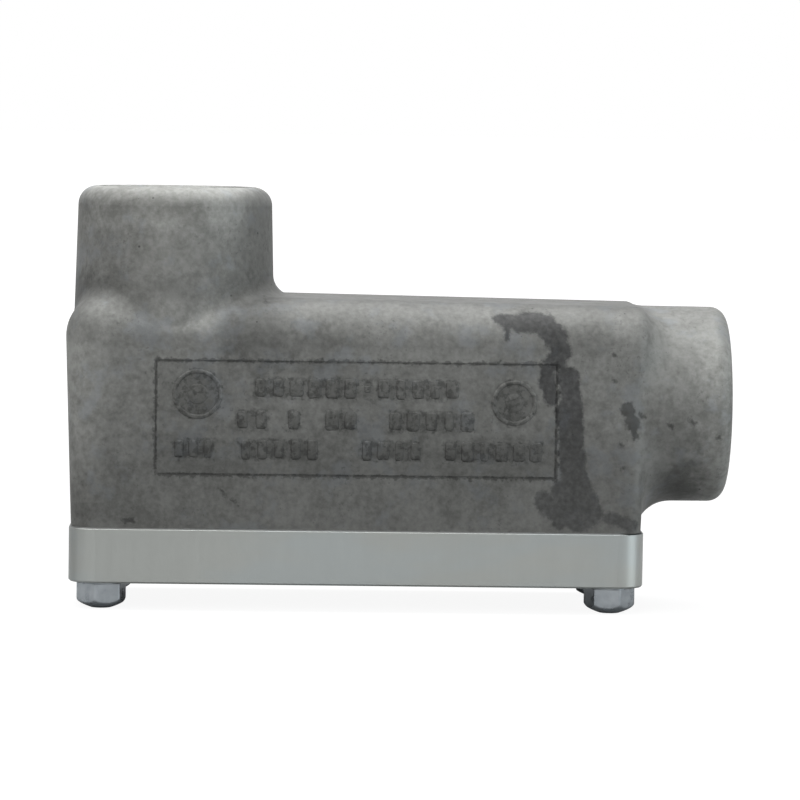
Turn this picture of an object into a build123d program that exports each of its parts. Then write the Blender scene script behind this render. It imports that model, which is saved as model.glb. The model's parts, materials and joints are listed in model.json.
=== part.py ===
from build123d import *
import os
from math import cos, radians, sin, tan

# Explosion-resisting conduit body, 1 inch trade size: one aluminium casting with two
# threaded hubs, a thick cover bolted under it on a flat metal joint, four hex screws.
# Millimetres. +Z up, +X towards the outlet hub, the marked face looks to -Y.
# While it is built, X = 0 is the riser end of the cover and Z = 0 the screw head ends.

# Hub threads and wire throats, 1 inch taper pipe thread drawn at its major radius
thread_radius = 16.6
thread_depth = 20.0
thread_lead_in = 1.2
throat_step = 3.3           # throat is this much inside the thread
throat_length = 4.6
throat_edge_radius = 0.9
passage_flare = 1.2         # passage behind the throat is this much wider each side

# Hubs, outside
hub_wall = 5.77             # at the riser mouth
riser_height = 24.3         # mouth above the roof's high end
riser_draft = 1.6           # degrees
riser_rim_radius = 4.3
riser_blend_radius = 4.7
riser_end_step = 1.72       # riser end wall stands this far outside the riser's foot
outlet_growth = 0.34        # outlet mouth is this much larger in radius than the riser's
outlet_reach = 20.8         # mouth beyond the foot of the outlet end wall
outlet_draft = 0.3          # degrees
outlet_rim_radius = 3.7
outlet_foot_gap = 5.58      # joint face to the underside of the outlet hub
outlet_blend_radius = 8.4   # runs out on the joint face under the hub
outlet_roof_step = 0.37     # roof above the outlet's foot
hub_root = 8.0              # hub blanks start this far inside the body

# Casting, outside
body_length = 130.65
body_side_step = 0.44       # body sides stand this far outside the riser's root
roof_fall = 0.71            # degrees, the roof drops towards the outlet
riser_end_lean = 2.15       # degrees, the end walls lean out going up
outlet_end_lean = 1.8
roof_edge_radius = 9.8
shoulder_extra = 1.0        # upright riser end corners are this much rounder at the roof
outlet_edge_step = 2.9      # outlet end edges are this much sharper than the cover's corners

# Cover plate
cover_overhang = 0.4        # cover stands out from the casting at the sides and the riser end
outlet_overhang = 0.85      # and at the outlet end
cover_thickness = 12.7
cover_corner_radius = 6.2
cover_edge_break = 0.4

# Cover screws, 1/4 inch, with trimmed hexagon heads
screw_radius = 3.15
screw_reach = 18.5          # shank beyond the cover, into the casting
screw_end_chamfer = 0.8
screw_inset = 7.5           # screw axis in from both cover edges
head_across_flats = 10.3
head_thickness = 5.7
head_end_radius = 3.9
head_trim = 1.7             # height of the tapered end of the head
washer_face_radius = 4.9
washer_face_thickness = 0.5
head_turns = (18.0, 50.0, 5.0, 26.0)    # degrees: near left, near right, far left, far right
cover_hole_clearance = 0.3
tapped_hole_clearance = 0.05
tapped_hole_spare = 2.5

# Chamber
joint_land = 9.2            # width of the flat joint face
joint_land_height = 9.0
chamber_wall = 6.3
chamber_end_wall = 7.0
chamber_roof = 6.5          # at the roof's high end
chamber_corner_radius = 4.0
boss_wall = 3.4             # metal round the tapped holes
boss_cap = 4.0              # metal left above them

# Witness line round the marking panel on the near face
panel_riser_margin = 19.25
panel_outlet_margin = 19.8
panel_foot_margin = 12.3
panel_roof_margin = 14.65
panel_line_width = 0.45
panel_line_depth = 0.25

# Hub sizes that follow
riser_mouth_radius = thread_radius + hub_wall
riser_foot_radius = riser_mouth_radius + riser_height * tan(radians(riser_draft))
riser_root_radius = riser_mouth_radius + (riser_height + hub_root) * tan(radians(riser_draft))
outlet_mouth_radius = riser_mouth_radius + outlet_growth
outlet_foot_radius = outlet_mouth_radius + outlet_reach * tan(radians(outlet_draft))
throat_radius = thread_radius - throat_step
passage_radius = throat_radius + passage_flare

# Body and cover sizes that follow
outlet_axis_height = outlet_foot_gap + outlet_foot_radius
roof_drop = body_length * tan(radians(roof_fall))
body_height = outlet_axis_height + outlet_foot_radius + outlet_roof_step + roof_drop
body_depth = 2 * (riser_root_radius + body_side_step)
facing_allowance = outlet_blend_radius  # metal below the joint, until the casting is faced there
riser_lean_out = body_height * tan(radians(riser_end_lean))
outlet_lean_out = body_height * tan(radians(outlet_end_lean))
cover_length = cover_overhang + body_length + outlet_overhang
cover_depth = body_depth + 2 * cover_overhang

# Places that follow
head_height = head_thickness + washer_face_thickness
joint_z = head_height + cover_thickness
roof_z = joint_z + body_height
riser_mouth_z = roof_z + riser_height
outlet_axis_z = joint_z + outlet_axis_height
body_start = cover_overhang
body_end = body_start + body_length
riser_axis_x = body_start - riser_lean_out + riser_end_step + riser_foot_radius
outlet_mouth_x = body_end + outlet_reach
tapped_depth = screw_reach + tapped_hole_spare
near_row = screw_inset - cover_depth / 2
far_row = cover_depth / 2 - screw_inset
screw_places = {
    "near_left": (screw_inset, near_row),
    "near_right": (cover_length - screw_inset, near_row),
    "far_left": (screw_inset, far_row),
    "far_right": (cover_length - screw_inset, far_row),
}
standing = (Align.CENTER, Align.CENTER, Align.MIN)


def plan(x_start, x_end, depth):
    """Rectangle in plan, centred on the long axis."""
    return Pos((x_start + x_end) / 2, 0) * Rectangle(x_end - x_start, depth)


def rounded_plan(x_start, x_end, depth, radius):
    """The same rectangle with only its riser end corners rounded."""
    outline = plan(x_start, x_end, depth)
    return fillet(outline.vertices().group_by(Axis.X)[0], radius)


def body_blank():
    """Outside of the body: sides upright, ends leaning, roof falling to the outlet.

    It runs on below the joint by the facing allowance.
    """
    foot = Pos(0, 0, joint_z - facing_allowance) * rounded_plan(
        body_start + facing_allowance * tan(radians(riser_end_lean)),
        body_end - facing_allowance * tan(radians(outlet_end_lean)),
        body_depth, cover_corner_radius)
    fall = radians(roof_fall)
    roof_plane = Plane(origin=(body_start, 0, roof_z),
                       x_dir=(cos(fall), 0, -sin(fall)), z_dir=(sin(fall), 0, cos(fall)))
    roof = roof_plane * rounded_plan(
        -riser_lean_out, body_length + outlet_lean_out,
        body_depth, roof_edge_radius + shoulder_extra)
    blank = loft([foot.face(), roof.face()], ruled=True)

    outlet_edge = blank.faces().sort_by(Axis.Z)[-1].edges().sort_by(Axis.X)[-1]
    roof_edges = blank.faces().sort_by(Axis.Z)[-1].edges() - [outlet_edge]
    blank = fillet(roof_edges, roof_edge_radius)

    outlet_wall = blank.faces().sort_by(Axis.X)[-1]
    wall_edges = outlet_wall.edges().sort_by(Axis.Z)[1:]
    return fillet(wall_edges, cover_corner_radius - outlet_edge_step)


def hub_blank(mouth_radius, draft, length, rim_radius):
    """Tapered hub standing on the XY plane, its mouth up and its rim rounded."""
    root_radius = mouth_radius + length * tan(radians(draft))
    half = Plane.XZ * Polygon(
        (0, 0), (root_radius, 0), (mouth_radius, length), (0, length), align=None)
    hub = revolve(half, Axis.Z)
    rim = hub.faces().sort_by(Axis.Z)[-1].edges()
    return fillet(rim, rim_radius)


def blend_foot(casting, axis, radius):
    """Round the inside corner where the outermost hub along an axis meets the body."""
    barrel = casting.faces().filter_by(GeomType.CONE).sort_by(axis)[-1]
    rings = [edge for edge in barrel.edges() if edge.geom_type != GeomType.LINE]
    foot = ShapeList(rings).sort_by(axis)[:-1]
    return fillet(foot, radius)


def hub_passage(length):
    """What is cut from a hub, mouth at Z = 0: lead-in, thread bore, throat, passage."""
    throat_end = thread_depth + throat_length
    half = Plane.XZ * Polygon(
        (0, 0), (thread_radius + thread_lead_in, 0), (thread_radius, -thread_lead_in),
        (thread_radius, -thread_depth), (throat_radius, -thread_depth),
        (throat_radius, -throat_end), (passage_radius, -throat_end),
        (passage_radius, -length), (0, -length), align=None)
    passage = revolve(half, Axis.Z)
    throat_edges = [edge for edge in passage.edges().filter_by(GeomType.CIRCLE)
                    if abs(edge.radius - throat_radius) < 0.01]
    return fillet(ShapeList(throat_edges).sort_by(Axis.Z)[-1], throat_edge_radius)


def chamber():
    """Wiring chamber: an opening in the joint face, wider above it, clear of the screw bosses."""
    opening = extrude(
        Pos(0, 0, joint_z) * plan(body_start + joint_land, body_end - joint_land,
                                  body_depth - 2 * joint_land),
        joint_land_height)
    opening = fillet(opening.edges().filter_by(Axis.Z), chamber_corner_radius)

    room = extrude(
        Pos(0, 0, joint_z + joint_land_height) * plan(
            body_start + chamber_end_wall, body_end - chamber_end_wall,
            body_depth - 2 * chamber_wall),
        body_height - chamber_roof - joint_land_height)
    room = fillet(room.edges().filter_by(Axis.Z), chamber_corner_radius)
    room = fillet(room.faces().sort_by(Axis.Z)[-1].edges(), chamber_corner_radius)

    hollow = opening + room
    boss_radius = screw_radius + boss_wall
    for x, y in screw_places.values():
        hollow -= Pos(x, y, joint_z) * Cylinder(
            boss_radius, tapped_depth + boss_cap, align=standing)
    return hollow


def witness_line():
    """Thin groove left round the marking panel by the pattern's insert."""
    length = body_length - panel_riser_margin - panel_outlet_margin
    height = body_height - panel_foot_margin - panel_roof_margin
    corner = Plane(origin=(body_start + panel_riser_margin, -body_depth / 2,
                           joint_z + panel_foot_margin),
                   x_dir=(1, 0, 0), z_dir=(0, -1, 0))
    ring = Rectangle(length, height) - Rectangle(
        length - 2 * panel_line_width, height - 2 * panel_line_width)
    return extrude(corner * Pos(length / 2, height / 2) * ring, -panel_line_depth)


def make_housing():
    """The casting: body, both hubs blended in, joint faced, then bored, cored and tapped."""
    riser = Pos(riser_axis_x, 0, roof_z - hub_root) * hub_blank(
        riser_mouth_radius, riser_draft, riser_height + hub_root, riser_rim_radius)
    casting = blend_foot(body_blank() + riser, Axis.Z, riser_blend_radius)

    outlet = Pos(body_end - hub_root, 0, outlet_axis_z) * Rot(0, 90, 0) * hub_blank(
        outlet_mouth_radius, outlet_draft, outlet_reach + hub_root, outlet_rim_radius)
    casting = blend_foot(casting + outlet, Axis.X, outlet_blend_radius)
    casting = split(casting, bisect_by=Plane.XY.offset(joint_z), keep=Keep.TOP)

    riser_passage = hub_passage(riser_height + chamber_roof + chamber_corner_radius)
    outlet_passage = hub_passage(outlet_reach + chamber_end_wall + chamber_corner_radius)
    casting -= chamber()
    casting -= Pos(riser_axis_x, 0, riser_mouth_z) * riser_passage
    casting -= Pos(outlet_mouth_x, 0, outlet_axis_z) * Rot(0, 90, 0) * outlet_passage
    for x, y in screw_places.values():
        casting -= Pos(x, y, joint_z) * Cylinder(
            screw_radius + tapped_hole_clearance, tapped_depth, align=standing)
    return casting - witness_line()


def make_cover():
    """Milled plate with its edges broken and four clearance holes."""
    outline = Pos(cover_length / 2, 0) * RectangleRounded(
        cover_length, cover_depth, cover_corner_radius)
    plate = extrude(Pos(0, 0, head_height) * outline, cover_thickness)
    rims = plate.edges().group_by(Axis.Z)[0] + plate.edges().group_by(Axis.Z)[-1]
    plate = chamfer(rims, cover_edge_break)
    for x, y in screw_places.values():
        plate -= Pos(x, y, head_height) * Cylinder(
            screw_radius + cover_hole_clearance, cover_thickness, align=standing)
    return plate


def make_screw(turn):
    """Hex screw standing on its head: tapered head end, washer face, chamfered shank."""
    corner_radius = head_across_flats / 2 / cos(radians(30))
    hexagon = extrude(RegularPolygon(corner_radius, 6), head_thickness)
    trim = revolve(Plane.XZ * Polygon(
        (0, 0), (head_end_radius, 0), (corner_radius, head_trim),
        (corner_radius, head_thickness), (0, head_thickness), align=None), Axis.Z)
    washer_face = Pos(0, 0, head_thickness) * Cylinder(
        washer_face_radius, washer_face_thickness, align=standing)
    shank = Cylinder(screw_radius, cover_thickness + screw_reach, align=standing)
    shank = chamfer(shank.edges().sort_by(Axis.Z)[-1], screw_end_chamfer)
    screw = (hexagon & trim) + washer_face + Pos(0, 0, head_height) * shank
    return Rot(0, 0, turn) * screw


pieces = {"housing": make_housing(), "cover": make_cover()}
for (name, (x, y)), turn in zip(screw_places.items(), head_turns):
    pieces["cover_screw_" + name] = Pos(x, y, 0) * make_screw(turn)

# The origin goes to the middle of the part's footprint, on the plane it stands on
casting_box = pieces["housing"].bounding_box()
middle_x = (casting_box.min.X + casting_box.max.X) / 2

os.makedirs("parts", exist_ok=True)
for name, piece in pieces.items():
    export_step(Pos(-middle_x, 0, 0) * piece, "parts/" + name + ".step")
print("middle of the footprint", round(middle_x, 4), "riser axis", round(riser_axis_x, 4),
      "outlet axis", round(outlet_axis_z, 4), "riser mouth", round(riser_mouth_z, 4),
      "outlet mouth", round(outlet_mouth_x, 4))
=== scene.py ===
# Conduit body, 1 inch trade size: a sand casting with two threaded hubs, a milled cover, four hex screws
import json
import math

import bpy
from mathutils import Matrix, Vector


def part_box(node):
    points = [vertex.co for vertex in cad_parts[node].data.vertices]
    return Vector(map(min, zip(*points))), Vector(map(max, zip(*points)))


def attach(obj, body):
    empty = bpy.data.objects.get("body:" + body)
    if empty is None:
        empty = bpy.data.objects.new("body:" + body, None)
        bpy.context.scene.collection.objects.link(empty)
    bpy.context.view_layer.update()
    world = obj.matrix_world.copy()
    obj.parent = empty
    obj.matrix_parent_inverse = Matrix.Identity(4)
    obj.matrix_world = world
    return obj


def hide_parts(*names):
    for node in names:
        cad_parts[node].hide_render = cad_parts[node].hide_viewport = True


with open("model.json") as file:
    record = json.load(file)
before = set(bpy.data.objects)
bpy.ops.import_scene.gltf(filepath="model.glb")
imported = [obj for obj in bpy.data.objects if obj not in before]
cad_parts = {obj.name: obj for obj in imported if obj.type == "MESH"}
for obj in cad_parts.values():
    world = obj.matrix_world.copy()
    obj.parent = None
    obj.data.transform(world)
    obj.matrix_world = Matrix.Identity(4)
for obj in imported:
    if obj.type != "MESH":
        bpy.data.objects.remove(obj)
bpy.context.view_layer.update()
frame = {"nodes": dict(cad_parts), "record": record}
mm = 0.001
print("stage 1: frame loaded")


def plug(tree, value, socket):
    if isinstance(value, bpy.types.NodeSocket):
        tree.links.new(value, socket)
    else:
        socket.default_value = value


def addNode(tree, kind, inputs=None, **settings):
    node = tree.nodes.new(kind)
    for key, value in settings.items():
        setattr(node, key, value)
    for key, value in (inputs or {}).items():
        plug(tree, value, node.inputs[key])
    return node


def maths(tree, operation, first, second=0.0, third=0.0):
    return addNode(tree, "ShaderNodeMath", {0: first, 1: second, 2: third}, operation=operation).outputs[0]


def vectorMaths(tree, operation, first, second=(0, 0, 0), scale=1.0):
    inputs = {0: first, 3: scale} if operation == "SCALE" else {0: first, 1: second}
    node = addNode(tree, "ShaderNodeVectorMath", inputs, operation=operation)
    return node.outputs[1 if operation in ("LENGTH", "DOT_PRODUCT") else 0]


def remap(tree, value, low, high, start=0.0, end=1.0, ease="SMOOTHSTEP"):
    spans = {"Value": value, "From Min": low, "From Max": high, "To Min": start, "To Max": end}
    return addNode(tree, "ShaderNodeMapRange", spans, interpolation_type=ease).outputs["Result"]


def chain(tree, operation, values):
    # the operation over all the values, from left to right
    result = values[0]
    for value in values[1:]:
        result = maths(tree, operation, result, value)
    return result


def plus(tree, *values):
    return chain(tree, "ADD", values)


def times(tree, *values):
    return chain(tree, "MULTIPLY", values)


def minus(tree, first, second):
    return maths(tree, "SUBTRACT", first, second)


def noise(tree, point, size, detail, roughness):
    inputs = {"Vector": point, "Scale": 1 / size, "Detail": detail, "Roughness": roughness}
    return addNode(tree, "ShaderNodeTexNoise", inputs).outputs["Fac"]


noiseRange = (0.3, 0.7)  # most of a noise texture lies between these


def spread(tree, value, span):
    # a noise value as plus or minus the span
    return remap(tree, value, *noiseRange, -span, span, "LINEAR")


def mixColour(tree, factor, first, second, blend="MIX"):
    return addNode(tree, "ShaderNodeMix", {0: factor, 6: first, 7: second},
                   data_type="RGBA", blend_type=blend).outputs[2]


def darken(tree, colour, mask, factor):
    # factor is what is left of the colour where the mask is 1; above 1 it lightens
    return mixColour(tree, mask, colour, (factor, factor, factor, 1), "MULTIPLY")


def grey(red, green, blue):
    return (red, green, blue, 1)


def emptyMaterial(name):
    material = bpy.data.materials.new(name)
    material.use_nodes = True
    material.node_tree.nodes.clear()
    return material, material.node_tree


def newMaterial(name):
    material, tree = emptyMaterial(name)
    shader = addNode(tree, "ShaderNodeBsdfPrincipled")
    addNode(tree, "ShaderNodeOutputMaterial", {"Surface": shader.outputs[0]})
    return material, tree, shader


def pointInMillimetres(tree):
    place = addNode(tree, "ShaderNodeTexCoord").outputs["Object"]
    return vectorMaths(tree, "SCALE", place, scale=1 / mm)


def bump(tree, height, distance, strength, normal=None):
    inputs = {"Height": height, "Distance": distance * mm, "Strength": strength}
    if normal is not None:
        inputs["Normal"] = normal
    return addNode(tree, "ShaderNodeBump", inputs).outputs["Normal"]


# The camera stands where the photograph was taken from, worked out from the outline
cameraSetup = {"distance": 0.950, "yaw": 1.771, "pitch": 3.916, "roll": 0.838,
               "fieldOfView": 11.235, "lookAt": (0.000725, 0.0, 0.047275), "clipStart": 0.05}


def addCamera(setup):
    yaw, pitch = math.radians(setup["yaw"]), math.radians(setup["pitch"])
    back = Vector((-math.sin(yaw) * math.cos(pitch), -math.cos(yaw) * math.cos(pitch), math.sin(pitch)))
    camera = bpy.data.objects.new("camera", bpy.data.cameras.new("camera"))
    camera.data.angle = math.radians(setup["fieldOfView"])
    camera.data.clip_start = setup["clipStart"]
    camera.rotation_mode = "QUATERNION"
    rolled = Matrix.Rotation(math.radians(setup["roll"]), 3, "Z").to_quaternion()
    camera.rotation_quaternion = (-back).to_track_quat("-Z", "Y") @ rolled
    camera.location = Vector(setup["lookAt"]) + back * setup["distance"]
    bpy.context.scene.collection.objects.link(camera)
    bpy.context.scene.camera = camera


# Soft studio light: a panel overhead, one in front on the left and a cool one on the right
studio = {
    "sky": 0.30, "background": 1.0,
    "floorSize": 60.0, "floorWhite": (1.21, 1.45), "floorFade": (0.2, 0.7),
    "floorShare": 0.76, "floorSeen": grey(0.60, 0.60, 0.60), "floorBounce": grey(0.15, 0.15, 0.15),
    "lampAim": (0, 0, 0.05),
    "lamps": {
        "overhead": {"place": (-0.03, 0.03, 0.36), "size": 0.42, "watts": 1.75},
        "front": {"place": (-0.55, -1.1, 0.70), "size": 0.8, "watts": 4.7},
        "right": {"place": (0.90, -0.36, 0.14), "size": 0.6, "watts": 3.2, "colour": (0.88, 0.96, 1.0)},
    },
}


def raysOf(tree, *kinds):
    # 1 for the rays of the named kinds
    rays = addNode(tree, "ShaderNodeLightPath").outputs
    return chain(tree, "MAXIMUM", [rays["Is %s Ray" % kind] for kind in kinds])


def addWorld(setup):
    world = bpy.data.worlds.new("studio")
    world.use_nodes = True
    tree = world.node_tree
    tree.nodes.clear()
    sky = addNode(tree, "ShaderNodeBackground", {"Color": grey(1, 1, 1), "Strength": setup["sky"]})
    white = addNode(tree, "ShaderNodeBackground", {"Color": grey(1, 1, 1), "Strength": setup["background"]})
    seen = raysOf(tree, "Camera", "Glossy", "Transmission")
    mixed = addNode(tree, "ShaderNodeMixShader", {0: seen, 1: sky.outputs[0], 2: white.outputs[0]})
    addNode(tree, "ShaderNodeOutputWorld", {"Surface": mixed.outputs[0]})
    bpy.context.scene.world = world


def addFloor(setup):
    half = setup["floorSize"] / 2
    mesh = bpy.data.meshes.new("floor")
    corners = [(-half, -half, 0), (half, -half, 0), (half, half, 0), (-half, half, 0)]
    mesh.from_pydata(corners, [], [(0, 1, 2, 3)])
    floor = bpy.data.objects.new("floor", mesh)
    bpy.context.scene.collection.objects.link(floor)
    material, tree = emptyMaterial("paleFloor")
    place = addNode(tree, "ShaderNodeTexCoord").outputs["Object"]
    away = vectorMaths(tree, "LENGTH", place)
    seen = raysOf(tree, "Camera", "Glossy", "Transmission")
    matt = addNode(tree, "ShaderNodeBsdfDiffuse",
                   {"Color": mixColour(tree, seen, setup["floorBounce"], setup["floorSeen"])})
    white = addNode(tree, "ShaderNodeEmission", {
        "Color": grey(1, 1, 1), "Strength": remap(tree, away, *setup["floorFade"], *setup["floorWhite"])})
    share = times(tree, raysOf(tree, "Camera", "Transmission"), setup["floorShare"])
    lit = addNode(tree, "ShaderNodeMixShader", {0: share, 1: matt.outputs[0], 2: white.outputs[0]})
    clear = addNode(tree, "ShaderNodeBsdfTransparent")
    below = addNode(tree, "ShaderNodeNewGeometry").outputs["Backfacing"]  # open from underneath
    both = addNode(tree, "ShaderNodeMixShader", {0: below, 1: lit.outputs[0], 2: clear.outputs[0]})
    addNode(tree, "ShaderNodeOutputMaterial", {"Surface": both.outputs[0]})
    mesh.materials.append(material)


def addLamp(name, aim, place, size, watts, colour=(1, 1, 1)):
    lamp = bpy.data.lights.new(name, "AREA")
    lamp.shape = "SQUARE"
    lamp.size = size
    lamp.energy = watts
    lamp.color = colour
    holder = bpy.data.objects.new(name, lamp)
    holder.location = place
    holder.rotation_mode = "QUATERNION"
    holder.rotation_quaternion = (Vector(aim) - Vector(place)).to_track_quat("-Z", "Y")
    holder.visible_camera = False
    bpy.context.scene.collection.objects.link(holder)


addCamera(cameraSetup)
addWorld(studio)
addFloor(studio)
for lampName, lampSetup in studio["lamps"].items():
    addLamp(lampName, studio["lampAim"], **lampSetup)
print("stage 2: camera and studio")

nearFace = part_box("housing")[0].y / mm
# The panel and its blank marks on the near side, in millimetres, with each place as (X, Z).
# An edge runs from outside to inside, and ragged is how far noise moves it.
panel = {"centre": (-9.87, 44.33), "half": (45.8, 13.13), "edge": (0.3, -0.3),
         "lineEdge": (0.55, 0.05), "lineRagged": 3.0}
marks = {
    "rows": [51.3, 44.0, 37.2],
    "height": 4.5,
    "relief": 0.20,
    "wear": 0.34,
    "seed": 7,
    # each group is row, first pad's middle, pitch, number of pads, width of a pad
    "groups": [
        (0, -31.8, 4.1, 6, 2.9), (0, -7.4, 1.0, 1, 2.0), (0, -3.7, 3.9, 5, 2.8),
        (1, -35.8, 4.2, 2, 2.9), (1, -24.1, 4.0, 1, 2.8), (1, -15.4, 4.2, 2, 2.9), (1, -1.0, 4.1, 5, 2.8),
        (2, -50.2, 3.3, 3, 2.6), (2, -35.0, 3.8, 5, 2.7), (2, -7.4, 3.7, 4, 2.6), (2, 11.7, 3.9, 6, 2.8),
    ],
    "narrow": 2.5, "narrowHeight": 0.35,
    "padSteps": (10, 2, 14), "padPower": {"X": 5.0, "Z": 7.0}, "padCorner": 0.16,
    "smallestPad": (0.72, 0.45, 0.88), "largestPad": (1.12, 1.0, 1.05),
    # each ring is its middle and its radius, and its blank and wear are shares
    "rings": [((-46.1, 49.7), 5.2), ((26.1, 48.5), 4.7)],
    "ringStroke": 1.0, "ringBlank": 0.45, "ringWear": 0.6, "ringSteps": (96, 14), "blankSteps": (40, 16),
    "rubScale": 900.0, "rubDetail": 3.0, "padRub": (1, 0.6, 1),
    "soilEdge": (0.6, -0.6), "raggedness": 4.0, "ringSoil": 0.4,
}
# Strokes of the old oil stain, from (X, Z) to (X, Z) with a radius
stain = {
    "strokes": [
        ((21.9, 67.4), (27.8, 66.6), 1.3), ((27.8, 66.8), (32.8, 66.8), 2.3),
        ((32.8, 66.2), (35.4, 64.0), 2.6), ((35.4, 64.0), (36.6, 60.4), 2.2),
        ((24.2, 66.2), (24.2, 63.4), 0.8), ((36.6, 60.4), (34.2, 57.4), 1.9),
        ((33.2, 56.2), (34.2, 49.6), 1.8), ((36.6, 58.0), (37.6, 54.4), 1.2),
        ((38.1, 54.6), (39.3, 48.3), 2.5), ((38.7, 46.7), (39.8, 31.1), 3.1),
        ((40.4, 31.1), (43.6, 23.6), 3.0), ((37.6, 28.4), (41.0, 21.8), 2.9),
        ((33.4, 26.0), (37.4, 22.2), 2.4), ((48.6, 22.2), (53.1, 20.6), 1.4),
    ],
    "join": 0.8, "soft": 0.5, "fray": 3.6,
    "left": 0.35, "fadedLeft": 0.54, "fade": (52.0, 24.0), "fadeRagged": 9.0, "speckle": 0.05, "blue": 0.015,
}
# Single dark marks on the near side: start, end, radius
smudges = [
    ((48.7, 59.8), (48.7, 59.8), 0.35), ((48.8, 53.9), (48.9, 53.7), 0.5), ((52.0, 47.4), (53.6, 43.6), 1.7),
    ((53.4, 43.0), (53.8, 41.2), 0.9), ((54.6, 46.4), (55.4, 45.6), 0.5), ((61.8, 43.8), (62.2, 43.5), 0.6),
    ((66.6, 45.2), (67.4, 44.0), 0.55), ((73.2, 41.3), (73.3, 40.9), 0.3),
    ((-62.6, 20.9), (-60.2, 20.4), 0.5), ((-41.2, 28.4), (-36.6, 24.2), 0.1),
    ((51.2, 34.0), (51.2, 33.8), 0.4), ((50.4, 39.4), (50.6, 39.0), 0.4),
    ((-31.0, 70.9), (-30.6, 70.6), 0.3),
]
smudgeEdge, smudgeRagged = (0.5, -0.6), 3.4

# Soft patches on the near side, each with its centre (X, Z), its reach and what is left of the colour:
# below 1 it darkens, above 1 it is a painted highlight
patches = [((-32.5, 64.0), 13.0, 0.64), ((-21.0, 60.0), 9.0, 0.86), ((-53.0, 68.4), 6.0, 1.30),
           ((-51.0, 74.5), 6.0, 0.86), ((-66.0, 67.5), 7.0, 1.14), ((44.0, 64.5), 7.0, 0.88),
           ((-45.0, 66.5), 5.0, 1.35), ((-56.0, 84.0), 12.0, 1.12), ((66.0, 69.0), 8.0, 0.92)]
patchCore, patchRagged, bandRagged = 0.3, 2.5, 1.5
# Bands of painted shade and painted highlights on the casting, each with its limits as (axis, from, to) and
# what is left of the colour where they all hold; away is the distance from the middle plane
bands = [
    # painted shade dimming the flat roof and the upper edge of the near side under the overhead light
    ([("away", 21.0, 15.0), ("Z", 63.0, 67.0), ("Z", 78.0, 74.0), ("X", 60.0, 54.0)], 0.66),
    ([("Z", 59.0, 63.0), ("Z", 78.0, 74.0), ("X", 60.0, 54.0)], 0.90),
    # painted highlights on the left edge, the riser hub top and the outlet hub rim
    ([("X", -64.0, -73.5), ("Z", 22.0, 34.0), ("Z", 66.0, 60.0)], 1.42),
    ([("Z", 84.0, 90.0), ("X", -74.0, -69.0), ("X", -34.0, -38.0)], 1.30),
    ([("X", 65.0, 73.0), ("Z", 68.0, 58.0)], 1.42),
    # painted shade on the riser hub's outlet side and under the outlet hub
    ([("X", -42.0, -31.0), ("Z", 66.0, 76.0), ("Z", 97.0, 95.0)], 0.66),
    ([("Z", 37.0, 31.0), ("X", 56.0, 61.0), ("X", 73.0, 67.0)], 0.68),
]


def strokeDistanceGroup():
    # distance from a point to a straight stroke
    tree = bpy.data.node_groups.new("strokeDistance", "ShaderNodeTree")
    for label in ("Point", "Start", "Along"):
        tree.interface.new_socket(label, in_out="INPUT", socket_type="NodeSocketVector")
    for label in ("Inverse", "Radius"):
        tree.interface.new_socket(label, in_out="INPUT", socket_type="NodeSocketFloat")
    tree.interface.new_socket("Distance", in_out="OUTPUT", socket_type="NodeSocketFloat")
    given = tree.nodes.new("NodeGroupInput").outputs
    offset = vectorMaths(tree, "SUBTRACT", given["Point"], given["Start"])
    share = times(tree, vectorMaths(tree, "DOT_PRODUCT", offset, given["Along"]), given["Inverse"])
    share = remap(tree, share, 0.0, 1.0, ease="LINEAR")
    closest = vectorMaths(tree, "SCALE", given["Along"], scale=share)
    away = vectorMaths(tree, "LENGTH", vectorMaths(tree, "SUBTRACT", offset, closest))
    plug(tree, minus(tree, away, given["Radius"]), tree.nodes.new("NodeGroupOutput").inputs[0])
    return tree


def boxDistanceGroup():
    # distance from a point to an upright rectangle in the XZ plane, negative inside
    tree = bpy.data.node_groups.new("boxDistance", "ShaderNodeTree")
    for label in ("Point", "Centre", "Half"):
        tree.interface.new_socket(label, in_out="INPUT", socket_type="NodeSocketVector")
    tree.interface.new_socket("Distance", in_out="OUTPUT", socket_type="NodeSocketFloat")
    given = tree.nodes.new("NodeGroupInput").outputs
    offset = vectorMaths(tree, "ABSOLUTE", vectorMaths(tree, "SUBTRACT", given["Point"], given["Centre"]))
    beyond = vectorMaths(tree, "SUBTRACT", offset, given["Half"])
    outside = vectorMaths(tree, "LENGTH", vectorMaths(tree, "MAXIMUM", beyond, (0, 0, 0)))
    parts = addNode(tree, "ShaderNodeSeparateXYZ", {0: beyond}).outputs
    inside = maths(tree, "MINIMUM", maths(tree, "MAXIMUM", parts["X"], parts["Z"]), 0.0)
    plug(tree, plus(tree, outside, inside), tree.nodes.new("NodeGroupOutput").inputs[0])
    return tree


strokeTree = strokeDistanceGroup()
boxTree = boxDistanceGroup()
anyDepth = 1000  # a box in the XZ plane has no end along Y
shortestStroke = 1e-6  # squared, so that a dot doesn't divide by zero


def strokeDistance(tree, point, start, end, radius):
    along = Vector((end[0] - start[0], 0, end[1] - start[1]))
    inverse = 1 / max(along.length_squared, shortestStroke)
    group = addNode(tree, "ShaderNodeGroup", node_tree=strokeTree)
    for label, value in (("Point", point), ("Start", (start[0], 0, start[1])), ("Along", along),
                         ("Inverse", inverse), ("Radius", radius)):
        plug(tree, value, group.inputs[label])
    return group.outputs[0]


def boxDistance(tree, point, centre, half):
    group = addNode(tree, "ShaderNodeGroup", node_tree=boxTree)
    for label, value in (("Point", point), ("Centre", (centre[0], 0, centre[1])),
                         ("Half", (half[0], anyDepth, half[1]))):
        plug(tree, value, group.inputs[label])
    return group.outputs[0]


def nearest(tree, distances, softness=0.0):
    joined = distances[0]
    for distance in distances[1:]:
        joined = maths(tree, "SMOOTH_MIN" if softness else "MINIMUM", joined, distance, softness)
    return joined


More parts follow.
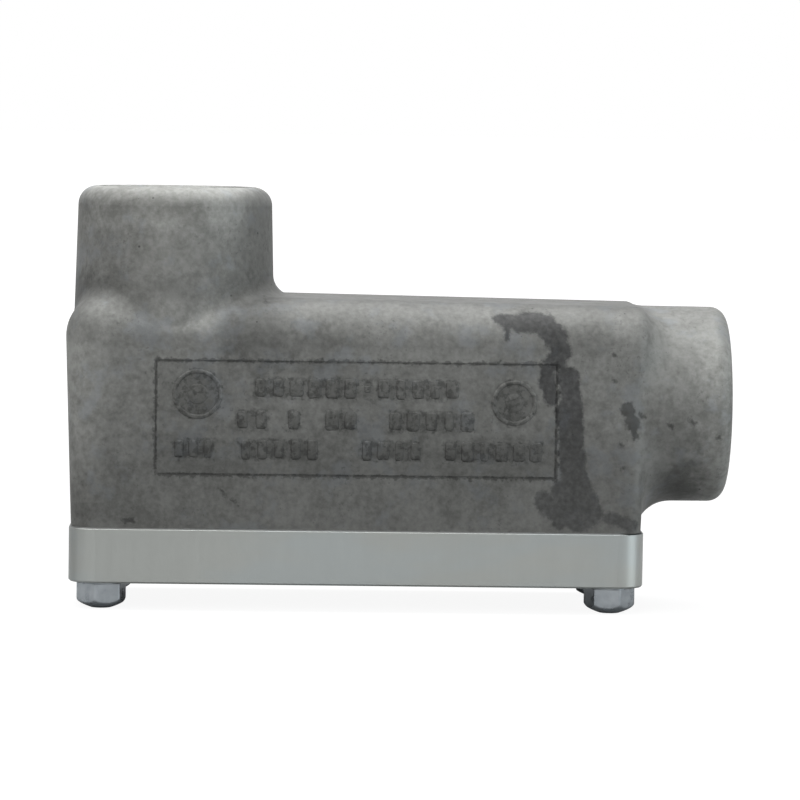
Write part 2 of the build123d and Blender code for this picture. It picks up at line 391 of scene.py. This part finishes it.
castFinish = {
    "pale": grey(0.262, 0.266, 0.254), "deep": grey(0.150, 0.152, 0.143), "cool": grey(0.235, 0.252, 0.266),
    "metallic": 0.30, "specular": 0.35, "roughness": (0.50, 0.66),
    "middleTone": 0.5, "patchShare": 0.32, "mottleShare": 0.36, "speckleShare": 0.29, "grainShare": 0.06,
    "coolFrom": (0.52, 0.66), "coolShare": 0.45,
    "pitSpacing": 3.0, "pitRadius": 0.40, "pitShare": 0.34, "smallestPit": 0.3, "pitFloor": 0.5,
    "clusterFrom": (0.5, 0.62), "specksFrom": (0.58, 0.66), "specksOutside": 0.35,
    "blotchFrom": (0.47, 0.60), "rimFrom": (0.35, 0.6), "rimLeast": 0.5,
    "nearSide": (-8.0, -13.0), "paintedShadeBelow": (50.0, 33.0), "paintedShadeInboard": (60.0, 50.0), "raggedness": 3.0,
    "waveHeight": 0.24, "waveStrength": 0.5, "grainHeight": 0.03, "grainStrength": 0.8, "pitDepth": 1.5,
    # what is left of the colour under each kind of dirt; low is the painted shade low on the body
    "left": {"pits": 0.42, "specks": 0.74, "low": 0.70, "panel": 0.86, "line": 0.56, "marks": 0.72,
             "blotches": 0.62, "rims": 0.55, "smudges": 0.42},
}
# Noise patterns of the casting: size in millimetres, detail, roughness and how far the pattern is moved
castPatterns = {
    "patch": (17.0, 3.0, 0.55, (0, 0, 0)), "mottle": (3.4, 3.0, 0.6, (0, 0, 0)),
    "speckle": (1.3, 2.0, 0.55, (31, 7, 19)), "grain": (0.5, 2.0, 0.6, (0, 0, 0)),
    "cool": (8.0, 4.0, 0.65, (5, 50, 9)), "cluster": (12.0, 2.0, 0.5, (3, 90, 41)),
    "specks": (0.9, 3.0, 0.7, (70, 2, 5)), "blotch": (1.5, 3.0, 0.65, (0, 12, 0)),
    "wobble": (1.4, 3.0, 0.6, (0, 0, 0)), "fray": (2.8, 5.0, 0.7, (0, 0, 0)),
    "wave": (4.6, 3.0, 0.55, (0, 0, 0)),
}


def castInputs(tree, look):
    # what the casting's finish is worked out from: places in millimetres and noise patterns
    point = pointInMillimetres(tree)
    parts = addNode(tree, "ShaderNodeSeparateXYZ", {0: point}).outputs
    at = {"point": point, "flat": vectorMaths(tree, "MULTIPLY", point, (1, 0, 1)),
          "X": parts["X"], "Z": parts["Z"], "away": maths(tree, "ABSOLUTE", parts["Y"]),
          "nearSide": remap(tree, parts["Y"], *look["nearSide"])}
    for name, (size, detail, roughness, shift) in castPatterns.items():
        at[name] = noise(tree, vectorMaths(tree, "ADD", point, shift), size, detail, roughness)
    for name in ("wobble", "fray"):
        at[name] = minus(tree, at[name], 0.5)
    return at


def nearMask(tree, at, value, start, end):
    # 1 on the near side where the value has gone from start to end
    return times(tree, remap(tree, value, start, end), at["nearSide"])


def castSkin(tree, at, look):
    # broad patches, mottle, speckle and grain, with cool patches where the mould released badly
    tone = look["middleTone"]
    for name in ("patch", "mottle", "speckle", "grain"):
        tone = plus(tree, tone, spread(tree, at[name], look[name + "Share"]))
    colour = mixColour(tree, tone, look["deep"], look["pale"])
    coolPatch = times(tree, remap(tree, at["cool"], *look["coolFrom"]), look["coolShare"])
    return mixColour(tree, coolPatch, colour, look["cool"])


def castPits(tree, at, look):
    # 1 in a pit left by a sand grain
    cells = addNode(tree, "ShaderNodeTexVoronoi", {"Vector": at["point"], "Scale": 1 / look["pitSpacing"]})
    chosen = addNode(tree, "ShaderNodeSeparateColor", {0: cells.outputs["Color"]}).outputs
    size = remap(tree, chosen["Green"], 0.0, 1.0, look["smallestPit"], 1.0, "LINEAR")
    reach = times(tree, size, look["pitRadius"] / look["pitSpacing"])
    hole = remap(tree, maths(tree, "DIVIDE", cells.outputs["Distance"], reach), 1.0, look["pitFloor"])
    return times(tree, hole, maths(tree, "LESS_THAN", chosen["Red"], look["pitShare"]))


def addSpecks(tree, at, look, colour):
    # dark specks, most of them in clusters
    specks = remap(tree, at["specks"], *look["specksFrom"])
    cluster = remap(tree, at["cluster"], *look["clusterFrom"])
    share = remap(tree, cluster, 0.0, 1.0, look["specksOutside"], 1.0)
    return darken(tree, colour, times(tree, specks, share), look["left"]["specks"])


def addPaintedShadeAndHighlights(tree, at, look, colour):
    # painted shade low on the body, then the bands of painted shade and painted highlights, and the soft
    # patches
    # painted shade: the body darker towards the bottom, except at the outlet end
    height = plus(tree, at["Z"], spread(tree, at["mottle"], look["raggedness"]))
    low = times(tree, remap(tree, height, *look["paintedShadeBelow"]), remap(tree, at["X"], *look["paintedShadeInboard"]))
    colour = darken(tree, colour, low, look["left"]["low"])
    ragged = spread(tree, at["mottle"], bandRagged)
    measures = {"X": plus(tree, at["X"], ragged), "Z": plus(tree, at["Z"], ragged), "away": at["away"]}
    for limits, left in bands:
        masks = [remap(tree, measures[axis], start, end) for axis, start, end in limits]
        colour = darken(tree, colour, times(tree, *masks), left)
    # soft patches, the ones above 1 being painted highlights
    ragged = spread(tree, at["mottle"], patchRagged)
    for centre, reach, left in patches:
        away = plus(tree, strokeDistance(tree, at["flat"], centre, centre, 0.0), ragged)
        colour = darken(tree, colour, nearMask(tree, at, away, reach, reach * patchCore), left)
    return colour


def addPanelDirt(tree, at, look, colour):
    # the panel, its line and the dirt held round the marks
    left = look["left"]
    edge = boxDistance(tree, at["flat"], panel["centre"], panel["half"])
    colour = darken(tree, colour, nearMask(tree, at, edge, *panel["edge"]), left["panel"])
    ragged = plus(tree, maths(tree, "ABSOLUTE", edge), times(tree, at["wobble"], panel["lineRagged"]))
    colour = darken(tree, colour, nearMask(tree, at, ragged, *panel["lineEdge"]), left["line"])
    halos = []
    for row, first, pitch, count, width in marks["groups"]:
        reachAcross = pitch * (count - 1) / 2
        centre = (first + reachAcross, marks["rows"][row])
        halos.append(boxDistance(tree, at["flat"], centre, (reachAcross + width / 2, marks["height"] / 2)))
    for centre, radius in marks["rings"]:
        halos.append(strokeDistance(tree, at["flat"], centre, centre, radius + marks["ringSoil"]))
    soiled = plus(tree, nearest(tree, halos), times(tree, at["wobble"], marks["raggedness"]))
    soil = nearMask(tree, at, soiled, *marks["soilEdge"])
    colour = darken(tree, colour, soil, left["marks"])
    blotches = remap(tree, at["blotch"], *look["blotchFrom"])
    colour = darken(tree, colour, times(tree, soil, blotches), left["blotches"])
    # the pads' own edges carry an attribute
    rims = addNode(tree, "ShaderNodeAttribute", attribute_name="soil").outputs["Fac"]
    rims = times(tree, rims, remap(tree, at["speckle"], *look["rimFrom"], look["rimLeast"], 1.0))
    return darken(tree, colour, rims, left["rims"])


def addStains(tree, at, look, colour):
    # the oil stain, fainter low down, and single smudges
    strokes = [strokeDistance(tree, at["flat"], *stroke) for stroke in stain["strokes"]]
    reachOut = plus(tree, nearest(tree, strokes, stain["join"]), times(tree, at["fray"], stain["fray"]))
    stained = nearMask(tree, at, reachOut, stain["soft"], -stain["soft"])
    height = plus(tree, at["Z"], spread(tree, at["mottle"], stain["fadeRagged"]))
    left = remap(tree, height, *stain["fade"], stain["left"], stain["fadedLeft"])
    left = plus(tree, left, spread(tree, at["speckle"], stain["speckle"]))
    shade = addNode(tree, "ShaderNodeCombineColor", {0: left, 1: left, 2: plus(tree, left, stain["blue"])})
    colour = mixColour(tree, stained, colour, shade.outputs[0], "MULTIPLY")
    spots = nearest(tree, [strokeDistance(tree, at["flat"], *smudge) for smudge in smudges])
    spots = plus(tree, spots, times(tree, at["wobble"], smudgeRagged))
    return darken(tree, colour, nearMask(tree, at, spots, *smudgeEdge), look["left"]["smudges"])


def makeCastMaterial(look):
    material, tree, shader = newMaterial("sandCastAluminium")
    at = castInputs(tree, look)
    pits = castPits(tree, at, look)
    colour = darken(tree, castSkin(tree, at, look), pits, look["left"]["pits"])
    for addDirtAndPaintedLight in (addSpecks, addPaintedShadeAndHighlights, addPanelDirt, addStains):
        colour = addDirtAndPaintedLight(tree, at, look, colour)
    plug(tree, colour, shader.inputs["Base Color"])
    shader.inputs["Metallic"].default_value = look["metallic"]
    shader.inputs["Specular IOR Level"].default_value = look["specular"]
    plug(tree, remap(tree, at["mottle"], *noiseRange, *look["roughness"]), shader.inputs["Roughness"])

    wave = bump(tree, at["wave"], look["waveHeight"], look["waveStrength"])
    rough = minus(tree, plus(tree, at["grain"], at["speckle"]), times(tree, pits, look["pitDepth"]))
    plug(tree, bump(tree, rough, look["grainHeight"], look["grainStrength"], wave), shader.inputs["Normal"])
    return material


# Milled plate; what is left of its colour under the painted shade towards the left end and at that corner,
# and under the painted shadow at the joint
milledFinish = {
    "colour": grey(0.370, 0.396, 0.392), "warm": grey(0.377, 0.392, 0.376), "dark": grey(0.26, 0.27, 0.265),
    "roughness": (0.34, 0.40),
    "streak": (0.9, 2.0, 0.5), "streakStretch": (1, 1, 0.05), "darkShare": 0.02, "streakBump": (0.003, 0.2),
    "broad": (14.0, 3.0, 0.55), "broadStretch": (0.35, 1, 1), "warmFrom": (0.42, 0.60),
    "endFrom": (-15.0, -75.0), "leftEnd": 0.93, "cornerFrom": (-72.6, -74.0), "leftCorner": 0.84,
    "jointFrom": (18.45, 18.75), "jointLeft": 0.22, "jointMatt": 0.8,
}


def makeMilledMaterial(look):
    material, tree, shader = newMaterial("milledAluminium")
    point = pointInMillimetres(tree)
    parts = addNode(tree, "ShaderNodeSeparateXYZ", {0: point}).outputs
    streak = noise(tree, vectorMaths(tree, "MULTIPLY", point, look["streakStretch"]), *look["streak"])
    broad = noise(tree, vectorMaths(tree, "MULTIPLY", point, look["broadStretch"]), *look["broad"])
    colour = mixColour(tree, remap(tree, broad, *look["warmFrom"]), look["colour"], look["warm"])
    colour = mixColour(tree, remap(tree, streak, *noiseRange, 0.0, look["darkShare"]), colour, look["dark"])
    # painted shade towards the left end of the cover and on its left corner
    colour = darken(tree, colour, remap(tree, parts["X"], *look["endFrom"]), look["leftEnd"])
    colour = darken(tree, colour, remap(tree, parts["X"], *look["cornerFrom"]), look["leftCorner"])
    # painted shadow on the cover's top ledge at the joint with the casting, which is also made less metallic
    joint = remap(tree, parts["Z"], *look["jointFrom"])
    colour = darken(tree, colour, joint, look["jointLeft"])
    plug(tree, colour, shader.inputs["Base Color"])
    plug(tree, minus(tree, 1.0, times(tree, joint, look["jointMatt"])), shader.inputs["Metallic"])
    plug(tree, remap(tree, streak, *noiseRange, *look["roughness"]), shader.inputs["Roughness"])
    plug(tree, bump(tree, streak, *look["streakBump"]), shader.inputs["Normal"])
    return material


zincFinish = {"dark": grey(0.300, 0.328, 0.350), "pale": grey(0.375, 0.402, 0.424), "cloud": (2.4, 4.0, 0.6),
              "roughness": (0.26, 0.40), "bump": (0.02, 0.3)}
threadFinish = {"dark": grey(0.36, 0.365, 0.36), "pale": grey(0.48, 0.485, 0.475), "cloud": (1.5, 3.0, 0.6),
                "roughness": (0.28, 0.42)}


def makeCloudyMetal(name, look):
    material, tree, shader = newMaterial(name)
    cloud = noise(tree, pointInMillimetres(tree), *look["cloud"])
    colour = mixColour(tree, remap(tree, cloud, *noiseRange), look["dark"], look["pale"])
    plug(tree, colour, shader.inputs["Base Color"])
    shader.inputs["Metallic"].default_value = 1.0
    plug(tree, remap(tree, cloud, *noiseRange, *look["roughness"]), shader.inputs["Roughness"])
    if "bump" in look:
        plug(tree, bump(tree, cloud, *look["bump"]), shader.inputs["Normal"])
    return material


castMaterial = makeCastMaterial(castFinish)
milledMaterial = makeMilledMaterial(milledFinish)
zincMaterial = makeCloudyMetal("zincPlatedSteel", zincFinish)
threadMaterial = makeCloudyMetal("cutThread", threadFinish)
finishOfNode = {"housing": castMaterial, "cover": milledMaterial}
for nodeName, node in frame["nodes"].items():
    node.material_slots[0].material = finishOfNode.get(nodeName, zincMaterial)
print("stage 3: materials")


def startTree(name, sockets):
    tree = bpy.data.node_groups.new(name, "GeometryNodeTree")
    tree.is_modifier = True
    tree.interface.new_socket("Geometry", in_out="INPUT", socket_type="NodeSocketGeometry")
    for label, kind in sockets.items():
        tree.interface.new_socket(label, in_out="INPUT", socket_type="NodeSocket" + kind)
    tree.interface.new_socket("Geometry", in_out="OUTPUT", socket_type="NodeSocketGeometry")
    return tree, tree.nodes.new("NodeGroupInput").outputs


def endTree(tree, geometry, material):
    plain = addNode(tree, "GeometryNodeRealizeInstances", {0: geometry}).outputs[0]
    painted = addNode(tree, "GeometryNodeSetMaterial", {"Geometry": plain, "Material": material}).outputs[0]
    plug(tree, painted, tree.nodes.new("NodeGroupOutput").inputs[0])


def growPiece(name, tree, values, points=()):
    mesh = bpy.data.meshes.new(name)
    mesh.from_pydata(list(points), [], [])
    piece = bpy.data.objects.new(name, mesh)
    bpy.context.scene.collection.objects.link(piece)
    modifier = piece.modifiers.new("grow", "NODES")
    modifier.node_group = tree
    for item in tree.interface.items_tree:
        if item.name in values:
            modifier[item.identifier] = values[item.name]
    grown = bpy.data.meshes.new_from_object(piece.evaluated_get(bpy.context.evaluated_depsgraph_get()))
    piece.modifiers.remove(modifier)
    piece.data = grown
    grown.name = name
    for face in grown.polygons:
        face.use_smooth = True
    return piece


triangleHeight = 1.5  # of a triangle whose outer radius is 1


def threadRidge(tree, given, radius, length, steps, scale, lift, turn=0.0):
    # a V ridge wound round the radius and lifted from it, as tall as the Ridge input where the scale is 1
    spiral = addNode(tree, "GeometryNodeCurveSpiral", {
        "Resolution": steps, "Rotations": maths(tree, "DIVIDE", length, given["Pitch"]),
        "Start Radius": radius, "End Radius": radius, "Height": length}).outputs[0]
    level = addNode(tree, "GeometryNodeSetCurveNormal", {"Curve": spiral}, mode="Z_UP").outputs[0]
    reach = maths(tree, "DIVIDE", given["Ridge"], triangleHeight)
    shape = addNode(tree, "GeometryNodeCurvePrimitiveCircle", {"Resolution": 3, "Radius": reach}).outputs[0]
    shift = addNode(tree, "ShaderNodeCombineXYZ", {"X": lift}).outputs[0]
    shape = addNode(tree, "GeometryNodeTransform", {
        "Geometry": shape, "Translation": shift, "Rotation": (0, 0, turn)}).outputs[0]
    return addNode(tree, "GeometryNodeCurveToMesh", {
        "Curve": level, "Profile Curve": shape, "Scale": scale, "Fill Caps": True}).outputs[0]


# Taper pipe thread that runs out at both ends. The bore is straight, so the ridge grows with depth instead.
# Start and stop are depths below the mouth, and lead is from the mouth to the mount's end.
hubThread = {"pitch": 2.209, "ridge": 1.72, "first": 0.55, "start": 19.4, "stop": 1.0, "lead": 1.2,
             "seated": 0.12, "stepsPerTurn": 72, "runOut": (0.05, 0.93), "sharpFrom": 35}


def threadTree():
    tree, given = startTree("hubThread", {
        "Radius": "Float", "Pitch": "Float", "Length": "Float", "Ridge": "Float", "First Ridge": "Float",
        "Seated": "Float", "Steps Per Turn": "Int", "Material": "Material"})
    along = addNode(tree, "GeometryNodeSplineParameter").outputs["Factor"]
    growth = remap(tree, along, 0.0, 1.0, 1.0, given["First Ridge"], "LINEAR")
    fromStart, fromEnd = hubThread["runOut"]
    scale = times(tree, growth, remap(tree, along, 0.0, fromStart), remap(tree, along, 1.0, fromEnd))
    reach = maths(tree, "DIVIDE", given["Ridge"], triangleHeight)
    lift = minus(tree, maths(tree, "DIVIDE", reach, 2.0), given["Seated"])
    ridge = threadRidge(tree, given, given["Radius"], given["Length"], given["Steps Per Turn"], scale, lift)
    endTree(tree, ridge, given["Material"])
    return tree


threadMaker = threadTree()


def addThread(name, mount):
    # local Z points out of the hub's mouth
    dims = mount["dims"]
    length = hubThread["start"] - hubThread["stop"]
    values = {"Radius": dims["r_mm"] * mm, "Pitch": hubThread["pitch"] * mm, "Length": length * mm,
              "Ridge": hubThread["ridge"] * mm, "First Ridge": hubThread["first"],
              "Seated": hubThread["seated"] * mm, "Steps Per Turn": hubThread["stepsPerTurn"],
              "Material": threadMaterial}
    piece = growPiece(name, threadMaker, values)
    axis = Vector(mount["axis"])
    mouth = Vector(mount["pos_m"]) + axis * (dims["length_mm"] / 2 + hubThread["lead"]) * mm
    turn = axis.to_track_quat("Z", "Y").to_matrix().to_4x4()
    piece.data.transform(Matrix.Translation(mouth - axis * hubThread["start"] * mm) @ turn)
    piece.data.set_sharp_from_angle(angle=math.radians(hubThread["sharpFrom"]))
    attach(piece, "root")


mounts = {mount["name"]: mount for mount in frame["record"]["mounts"]}
addThread("riser_thread", mounts["riser_hub"])
addThread("outlet_thread", mounts["outlet_hub"])
print("stage 4: hub threads")


# Hex head cap screw with a quarter inch thread, 20 per inch; its worn head end is domed
coverScrew = {"apothem": 5.15, "corner": 5.9, "endFlat": 2.4, "dome": 2.35, "head": 5.7, "washer": 4.9,
              "seat": 6.2, "neck": 3.12, "neckTop": 11.0, "core": 2.45, "tip": 37.2, "pitch": 1.27,
              "ridge": 0.75, "blend": 0.35}
# Angle of each head in degrees, the near two as they stand in the photo
screwTurns = {"cover_screw_near_left": 18, "cover_screw_near_right": 50, "cover_screw_far_left": 5,
              "cover_screw_far_right": 26}
# How finely a screw is drawn. Washer and shank start within what they join, at a share of its height.
screwMesh = {"headSides": 180, "headRings": 44, "washerSides": 96, "shankSides": 64, "stepsPerTurn": 36,
             "washerFrom": 0.98, "shankFrom": 0.97, "domePower": 2.0, "runOut": (0.04, 0.95),
             "ridgeLift": -0.34, "sharpFrom": 32}


def socketName(key):
    # endFlat becomes End Flat
    return "".join(" " + letter if letter.isupper() else letter for letter in key).title()


def screwTree():
    # head end at zero, shank upwards
    sockets = {socketName(key): "Float" for key in coverScrew}
    sockets.update({"Turn": "Float", "Place": "Vector", "Material": "Material"})
    tree, given = startTree("coverScrew", sockets)

    def rod(radius, low, high, sides, rings=1):
        mesh = addNode(tree, "GeometryNodeMeshCylinder", {
            "Vertices": sides, "Side Segments": rings, "Radius": radius, "Depth": minus(tree, high, low)},
            fill_type="TRIANGLE_FAN").outputs["Mesh"]
        return raised(mesh, maths(tree, "DIVIDE", plus(tree, low, high), 2.0))

    def raised(geometry, height):
        lift = addNode(tree, "ShaderNodeCombineXYZ", {"Z": height}).outputs[0]
        return addNode(tree, "GeometryNodeTransform", {"Geometry": geometry, "Translation": lift}).outputs[0]

    # the head is a unit cylinder drawn in to the smaller of a hexagon and a dome
    head = rod(1.0, 0.0, given["Head"], screwMesh["headSides"], screwMesh["headRings"])
    place = addNode(tree, "GeometryNodeInputPosition").outputs[0]
    parts = addNode(tree, "ShaderNodeSeparateXYZ", {0: place}).outputs
    angle = minus(tree, maths(tree, "ARCTAN2", parts["Y"], parts["X"]), given["Turn"])
    sector = maths(tree, "WRAP", angle, math.radians(60), 0.0)
    flat = maths(tree, "COSINE", minus(tree, sector, math.radians(30)))
    hexagon = maths(tree, "DIVIDE", given["Apothem"], flat)
    rest = maths(tree, "MAXIMUM", minus(tree, 1.0, maths(tree, "DIVIDE", parts["Z"], given["Dome"])), 0.0)
    rest = maths(tree, "POWER", rest, screwMesh["domePower"])
    swell = times(tree, minus(tree, given["Corner"], given["End Flat"]), minus(tree, 1.0, rest))
    dome = plus(tree, given["End Flat"], swell)
    radius = maths(tree, "SMOOTH_MIN", hexagon, dome, given["Blend"])
    stretch = addNode(tree, "ShaderNodeCombineXYZ", {"X": radius, "Y": radius, "Z": 1.0}).outputs[0]
    head = addNode(tree, "GeometryNodeSetPosition", {
        "Geometry": head, "Position": vectorMaths(tree, "MULTIPLY", place, stretch)}).outputs[0]

    underHead = times(tree, given["Head"], screwMesh["washerFrom"])
    underNeck = times(tree, given["Seat"], screwMesh["shankFrom"])
    underCore = times(tree, given["Neck Top"], screwMesh["shankFrom"])
    washer = rod(given["Washer"], underHead, given["Seat"], screwMesh["washerSides"])
    neck = rod(given["Neck"], underNeck, given["Neck Top"], screwMesh["shankSides"])
    core = rod(given["Core"], underCore, given["Tip"], screwMesh["shankSides"])
    along = addNode(tree, "GeometryNodeSplineParameter").outputs["Factor"]
    fromStart, fromEnd = screwMesh["runOut"]
    scale = times(tree, remap(tree, along, 0.0, fromStart), remap(tree, along, 1.0, fromEnd))
    lift = times(tree, maths(tree, "DIVIDE", given["Ridge"], triangleHeight), screwMesh["ridgeLift"])
    length = minus(tree, given["Tip"], given["Neck Top"])
    ridge = threadRidge(tree, given, given["Core"], length, screwMesh["stepsPerTurn"], scale, lift, math.pi)
    ridge = raised(ridge, given["Neck Top"])
    joined = addNode(tree, "GeometryNodeJoinGeometry")
    for part in (head, washer, neck, core, ridge):
        tree.links.new(part, joined.inputs[0])
    whole = addNode(tree, "GeometryNodeTransform", {
        "Geometry": joined.outputs[0], "Translation": given["Place"]}).outputs[0]
    endTree(tree, whole, given["Material"])
    return tree


def addScrews():
    maker = screwTree()
    for nodeName, turn in screwTurns.items():
        low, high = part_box(nodeName)
        values = {socketName(key): size * mm for key, size in coverScrew.items()}
        values["Turn"] = math.radians(turn)
        values["Place"] = ((low.x + high.x) / 2, (low.y + high.y) / 2, low.z)
        values["Material"] = zincMaterial
        piece = growPiece(nodeName + "_detail", maker, values)
        piece.data.set_sharp_from_angle(angle=math.radians(screwMesh["sharpFrom"]))
        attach(piece, "root")
        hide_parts(nodeName)


addScrews()
print("stage 5: cover screws")


def setOnPoints(tree, points, instance, scale=(1, 1, 1)):
    placed = addNode(tree, "GeometryNodeInstanceOnPoints", {
        "Points": points, "Instance": instance, "Scale": scale}).outputs[0]
    return addNode(tree, "GeometryNodeRealizeInstances", {0: placed}).outputs[0]


def rubbed(tree, geometry, wear, share=(1, 1, 1)):
    # the surface moved by noise, each way by up to half its share of the wear
    rub = addNode(tree, "ShaderNodeTexNoise", {"Scale": marks["rubScale"], "Detail": marks["rubDetail"]})
    rub = vectorMaths(tree, "SUBTRACT", rub.outputs["Color"], (0.5, 0.5, 0.5))
    worn = vectorMaths(tree, "SCALE", vectorMaths(tree, "MULTIPLY", rub, share), scale=wear)
    return addNode(tree, "GeometryNodeSetPosition", {"Geometry": geometry, "Offset": worn}).outputs[0]


def padTree():
    # worn, blank cast pads on the given points, their faces towards -Y
    tree, given = startTree("castPads", {
        "Width": "Float", "Height": "Float", "Relief": "Float", "Wear": "Float", "Seed": "Int",
        "Material": "Material"})
    size = addNode(tree, "ShaderNodeCombineXYZ",
                   {"X": given["Width"], "Y": given["Relief"], "Z": given["Height"]}).outputs[0]
    steps = {"Vertices " + axis: count for axis, count in zip("XYZ", marks["padSteps"])}
    block = addNode(tree, "GeometryNodeMeshCube", {"Size": size, **steps}).outputs["Mesh"]
    place = addNode(tree, "GeometryNodeInputPosition").outputs[0]
    share = addNode(tree, "ShaderNodeSeparateXYZ", {0: vectorMaths(tree, "DIVIDE", place, size)}).outputs

    def towardsEdge(axis):
        # 0 in the middle of the pad, 1 at its edges
        outward = maths(tree, "ABSOLUTE", times(tree, share[axis], 2.0))
        return maths(tree, "POWER", outward, marks["padPower"][axis])

    across, upward = towardsEdge("X"), towardsEdge("Z")
    crown = times(tree, minus(tree, 1.0, across), minus(tree, 1.0, upward))
    rise = times(tree, minus(tree, 0.5, crown), given["Relief"])
    front = maths(tree, "LESS_THAN", share["Y"], 0.0)
    inward = times(tree, across, upward, -marks["padCorner"])
    block = addNode(tree, "GeometryNodeStoreNamedAttribute", {
        "Geometry": block, "Name": "soil", "Value": minus(tree, 1.0, crown)},
        data_type="FLOAT", domain="POINT").outputs[0]
    corner = addNode(tree, "ShaderNodeCombineXYZ", {
        "X": times(tree, share["X"], inward, given["Width"]),
        "Z": times(tree, share["Z"], inward, given["Height"])}).outputs[0]
    move = addNode(tree, "ShaderNodeCombineXYZ", {"Y": rise}).outputs[0]
    raised = addNode(tree, "GeometryNodeSwitch", {"Switch": front, "False": (0, 0, 0), "True": move},
                     input_type="VECTOR").outputs[0]
    block = addNode(tree, "GeometryNodeSetPosition",
                    {"Geometry": block, "Offset": vectorMaths(tree, "ADD", raised, corner)}).outputs[0]
    stretch = addNode(tree, "FunctionNodeRandomValue", {
        0: marks["smallestPad"], 1: marks["largestPad"], "Seed": given["Seed"]}, data_type="FLOAT_VECTOR")
    pads = setOnPoints(tree, given["Geometry"], block, stretch.outputs[0])
    endTree(tree, rubbed(tree, pads, given["Wear"], marks["padRub"]), given["Material"])
    return tree


def ringTree():
    # a plain raised ring with a round blank in it, on each given point
    tree, given = startTree("castRings", {
        "Radius": "Float", "Stroke": "Float", "Relief": "Float", "Blank": "Float", "Wear": "Float",
        "Material": "Material"})
    pathSteps, strokeSteps = marks["ringSteps"]
    path = addNode(tree, "GeometryNodeCurvePrimitiveCircle", {
        "Resolution": pathSteps, "Radius": given["Radius"]}).outputs[0]
    shape = addNode(tree, "GeometryNodeCurvePrimitiveCircle", {
        "Resolution": strokeSteps, "Radius": 1.0}).outputs[0]
    half = maths(tree, "DIVIDE", given["Stroke"], 2.0)
    oval = addNode(tree, "ShaderNodeCombineXYZ", {"X": half, "Y": given["Relief"], "Z": 1.0}).outputs[0]
    shape = addNode(tree, "GeometryNodeTransform", {"Geometry": shape, "Scale": oval}).outputs[0]
    ring = addNode(tree, "GeometryNodeCurveToMesh", {"Curve": path, "Profile Curve": shape}).outputs[0]
    segments, rings = marks["blankSteps"]
    ball = addNode(tree, "GeometryNodeMeshUVSphere", {
        "Segments": segments, "Rings": rings, "Radius": 1.0}).outputs["Mesh"]
    dome = addNode(tree, "ShaderNodeCombineXYZ",
                   {"X": given["Blank"], "Y": given["Blank"], "Z": given["Relief"]}).outputs[0]
    blank = addNode(tree, "GeometryNodeTransform", {"Geometry": ball, "Scale": dome}).outputs[0]
    both = addNode(tree, "GeometryNodeJoinGeometry")
    tree.links.new(blank, both.inputs[0])
    tree.links.new(ring, both.inputs[0])
    upright = addNode(tree, "GeometryNodeTransform", {
        "Geometry": both.outputs[0], "Rotation": (math.radians(90), 0, 0)}).outputs[0]
    placed = setOnPoints(tree, given["Geometry"], upright)
    endTree(tree, rubbed(tree, placed, given["Wear"]), given["Material"])
    return tree


def addPanelMarks():
    maker = padTree()
    for index, (row, first, pitch, count, width) in enumerate(marks["groups"]):
        points = [((first + pitch * i) * mm, nearFace * mm, marks["rows"][row] * mm) for i in range(count)]
        tall = marks["narrowHeight"] if width < marks["narrow"] else 1.0
        values = {"Width": width * mm, "Height": marks["height"] * tall * mm, "Relief": marks["relief"] * mm,
                  "Wear": marks["wear"] * mm, "Seed": marks["seed"] + index, "Material": castMaterial}
        piece = growPiece("panel_pads_%d" % (index + 1), maker, values, points)
        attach(piece, "root")
    maker = ringTree()
    for index, (centre, radius) in enumerate(marks["rings"]):
        values = {"Radius": radius * mm, "Stroke": marks["ringStroke"] * mm, "Relief": marks["relief"] * mm,
                  "Blank": radius * marks["ringBlank"] * mm, "Wear": marks["wear"] * marks["ringWear"] * mm,
                  "Material": castMaterial}
        points = [(centre[0] * mm, nearFace * mm, centre[1] * mm)]
        piece = growPiece("panel_ring_%d" % (index + 1), maker, values, points)
        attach(piece, "root")


addPanelMarks()
print("stage 6: panel marks")

bpy.context.scene.view_settings.view_transform = "Standard"
